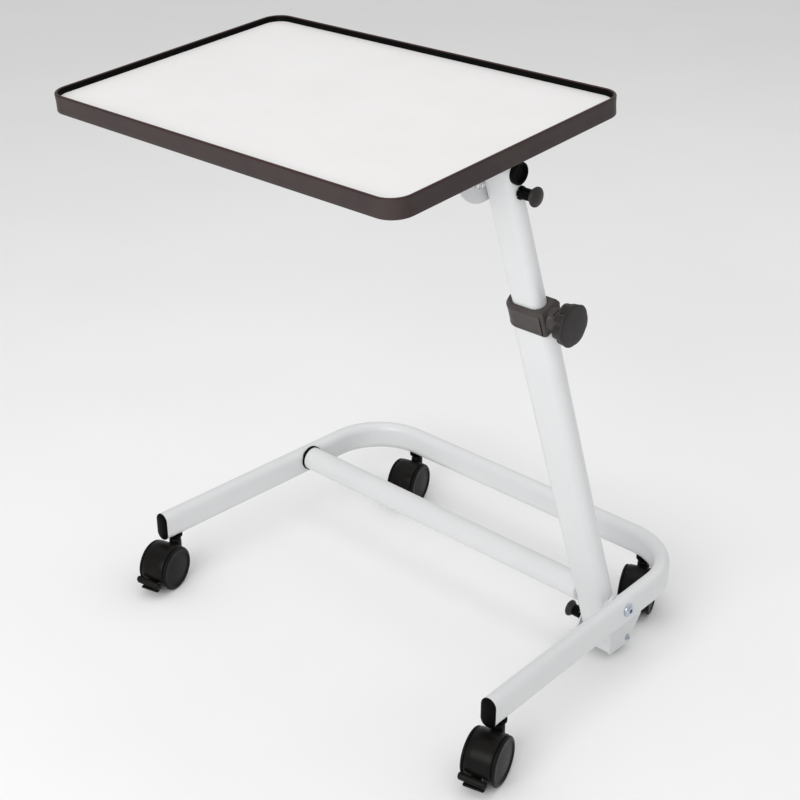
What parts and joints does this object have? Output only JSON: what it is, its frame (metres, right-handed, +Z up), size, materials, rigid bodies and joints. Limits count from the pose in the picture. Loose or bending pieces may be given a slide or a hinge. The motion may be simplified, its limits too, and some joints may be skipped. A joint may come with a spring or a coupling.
{
  "type": "overbed table",
  "caption": "Overbed table with a rimmed tilting top on a leaning telescopic post that folds over a U-shaped base tube on twin-wheel casters.",
  "frame": {"origin": "on the floor under the middle of the whole table", "axes": "+Z up, +X towards the side that carries the post, -Y towards the open end of the base and the lower edge of the top"},
  "size_m": [0.7271, 0.6422, 0.8622],
  "materials": {
    "frame_paint": "satin white powder coat",
    "laminate_board": "smooth off-white laminate on particle board",
    "edge_plastic": "satin dark brown-black moulding",
    "clamp_plastic": "satin moulded plastic",
    "black_plastic": "satin black plastic",
    "caster_plastic": "semi-gloss black nylon",
    "zinc_steel": "bright zinc plate",
    "spring_steel": "oiled spring wire"
  },
  "bodies": {
    "base": {"base_frame": "frame_paint", "end_cap_right": "black_plastic", "end_cap_left": "black_plastic", "caster_sockets": "black_plastic", "caster_stems": "zinc_steel", "foot_shoe": "frame_paint", "shoe_tie_screw": "zinc_steel", "pivot_bolt_right": "zinc_steel", "pivot_bolt_left": "zinc_steel", "bar_bush": "black_plastic", "lock_pin_sleeve": "black_plastic", "lock_pin_spring": "spring_steel"},
    "lock_pin": {"lock_pin_plunger": "zinc_steel", "lock_pin_knob": "black_plastic"},
    "post": {"round_bar": "frame_paint", "bar_end_plug": "zinc_steel", "lower_tube": "frame_paint", "pivot_sleeve": "zinc_steel", "foot_plug": "black_plastic", "guide_bush": "black_plastic", "clamp_collar": "clamp_plastic", "clamp_nut": "zinc_steel"},
    "clamp": {"clamp_screw": "zinc_steel", "clamp_knob": "clamp_plastic"},
    "upper_post": {"upper_tube": "frame_paint", "slide_shoe": "black_plastic", "arm_tube": "frame_paint", "arm_cap_right": "black_plastic", "arm_cap_left": "black_plastic", "tilt_pin_sleeve": "black_plastic", "tilt_pin_spring": "spring_steel"},
    "tilt_pin": {"tilt_pin_plunger": "zinc_steel", "tilt_pin_knob": "black_plastic"},
    "tabletop": {"index_plate": "frame_paint", "arm_saddles": "black_plastic", "board_screws": "zinc_steel", "tabletop_board": "laminate_board", "edge_moulding": "edge_plastic"},
    "front_right_caster": {"front_right_hood": "caster_plastic", "front_right_axle": "zinc_steel"},
    "front_right_left_wheel": {"front_right_wheel_left": "caster_plastic"},
    "front_right_right_wheel": {"front_right_wheel_right": "caster_plastic"},
    "front_left_caster": {"front_left_hood": "caster_plastic", "front_left_axle": "zinc_steel"},
    "front_left_left_wheel": {"front_left_wheel_left": "caster_plastic"},
    "front_left_right_wheel": {"front_left_wheel_right": "caster_plastic"},
    "rear_right_caster": {"rear_right_hood": "caster_plastic", "rear_right_axle": "zinc_steel"},
    "rear_right_left_wheel": {"rear_right_wheel_left": "caster_plastic"},
    "rear_right_right_wheel": {"rear_right_wheel_right": "caster_plastic"},
    "rear_left_caster": {"rear_left_hood": "caster_plastic", "rear_left_axle": "zinc_steel"},
    "rear_left_left_wheel": {"rear_left_wheel_left": "caster_plastic"},
    "rear_left_right_wheel": {"rear_left_wheel_right": "caster_plastic"},
    "front_right_pedal": {"front_right_brake_pedal": "caster_plastic"},
    "front_left_pedal": {"front_left_brake_pedal": "caster_plastic"}
  },
  "joints": [
    {"name": "post_fold", "type": "hinge", "parent": "base", "child": "post", "pos_m": [0.2683, 0.1385, 0.1035], "axis": [1, 0, 0], "range_deg": [0, 62]},
    {"name": "height_slide", "type": "slide", "parent": "post", "child": "upper_post", "axis": [0, -0.3322, 0.9432], "range_m": [-0.12, 0.2]},
    {"name": "top_tilt", "type": "hinge", "parent": "upper_post", "child": "tabletop", "pos_m": [0.2683, -0.10923, 0.80695], "axis": [1, 0, 0], "range_deg": [-4.67, 85.33]},
    {"name": "clamp_turn", "type": "hinge", "parent": "post", "child": "clamp", "pos_m": [0.3143, -0.03921, 0.60812], "axis": [1, 0, 0], "range_deg": [0, 360]},
    {"name": "tilt_pin_pull", "type": "slide", "parent": "upper_post", "child": "tilt_pin", "axis": [1, 0, 0], "range_m": [0, 0.006], "stiffness_N_per_m": 800, "springref_m": -0.005, "deforming": ["tilt_pin_spring"]},
    {"name": "lock_pin_pull", "type": "slide", "parent": "base", "child": "lock_pin", "axis": [-1, 0, 0], "range_m": [0, 0.006], "stiffness_N_per_m": 800, "springref_m": -0.005, "deforming": ["lock_pin_spring"]},
    {"name": "front_right_swivel", "type": "hinge", "parent": "base", "child": "front_right_caster", "pos_m": [0.32291, -0.144, 0.06], "axis": [0, 0, 1], "continuous": true},
    {"name": "front_right_left_roll", "type": "hinge", "parent": "front_right_caster", "child": "front_right_left_wheel", "pos_m": [0.33093, -0.17394, 0.035], "axis": [0.9659, 0.2588, 0], "continuous": true},
    {"name": "front_right_right_roll", "type": "hinge", "parent": "front_right_caster", "child": "front_right_right_wheel", "pos_m": [0.33093, -0.17394, 0.035], "axis": [0.9659, 0.2588, 0], "continuous": true},
    {"name": "front_left_swivel", "type": "hinge", "parent": "base", "child": "front_left_caster", "pos_m": [-0.33891, -0.144, 0.06], "axis": [0, 0, 1], "continuous": true},
    {"name": "front_left_left_roll", "type": "hinge", "parent": "front_left_caster", "child": "front_left_left_wheel", "pos_m": [-0.33088, -0.17394, 0.035], "axis": [0.9659, 0.2588, 0], "continuous": true},
    {"name": "front_left_right_roll", "type": "hinge", "parent": "front_left_caster", "child": "front_left_right_wheel", "pos_m": [-0.33088, -0.17394, 0.035], "axis": [0.9659, 0.2588, 0], "continuous": true},
    {"name": "rear_right_swivel", "type": "hinge", "parent": "base", "child": "rear_right_caster", "pos_m": [0.242, 0.30605, 0.06], "axis": [0, 0, 1], "continuous": true},
    {"name": "rear_right_left_roll", "type": "hinge", "parent": "rear_right_caster", "child": "rear_right_left_wheel", "pos_m": [0.25361, 0.27731, 0.035], "axis": [0.9272, 0.3746, 0], "continuous": true},
    {"name": "rear_right_right_roll", "type": "hinge", "parent": "rear_right_caster", "child": "rear_right_right_wheel", "pos_m": [0.25361, 0.27731, 0.035], "axis": [0.9272, 0.3746, 0], "continuous": true},
    {"name": "rear_left_swivel", "type": "hinge", "parent": "base", "child": "rear_left_caster", "pos_m": [-0.234, 0.309, 0.06], "axis": [0, 0, 1], "continuous": true},
    {"name": "rear_left_left_roll", "type": "hinge", "parent": "rear_left_caster", "child": "rear_left_left_wheel", "pos_m": [-0.22598, 0.27906, 0.035], "axis": [0.9659, 0.2588, 0], "continuous": true},
    {"name": "rear_left_right_roll", "type": "hinge", "parent": "rear_left_caster", "child": "rear_left_right_wheel", "pos_m": [-0.22598, 0.27906, 0.035], "axis": [0.9659, 0.2588, 0], "continuous": true},
    {"name": "front_right_brake", "type": "hinge", "parent": "front_right_caster", "child": "front_right_pedal", "pos_m": [0.34029, -0.20889, 0.02183], "axis": [0.9659, 0.2588, 0], "range_deg": [0, 8]},
    {"name": "front_left_brake", "type": "hinge", "parent": "front_left_caster", "child": "front_left_pedal", "pos_m": [-0.32152, -0.20889, 0.02183], "axis": [0.9659, 0.2588, 0], "range_deg": [0, 8]}
  ]
}
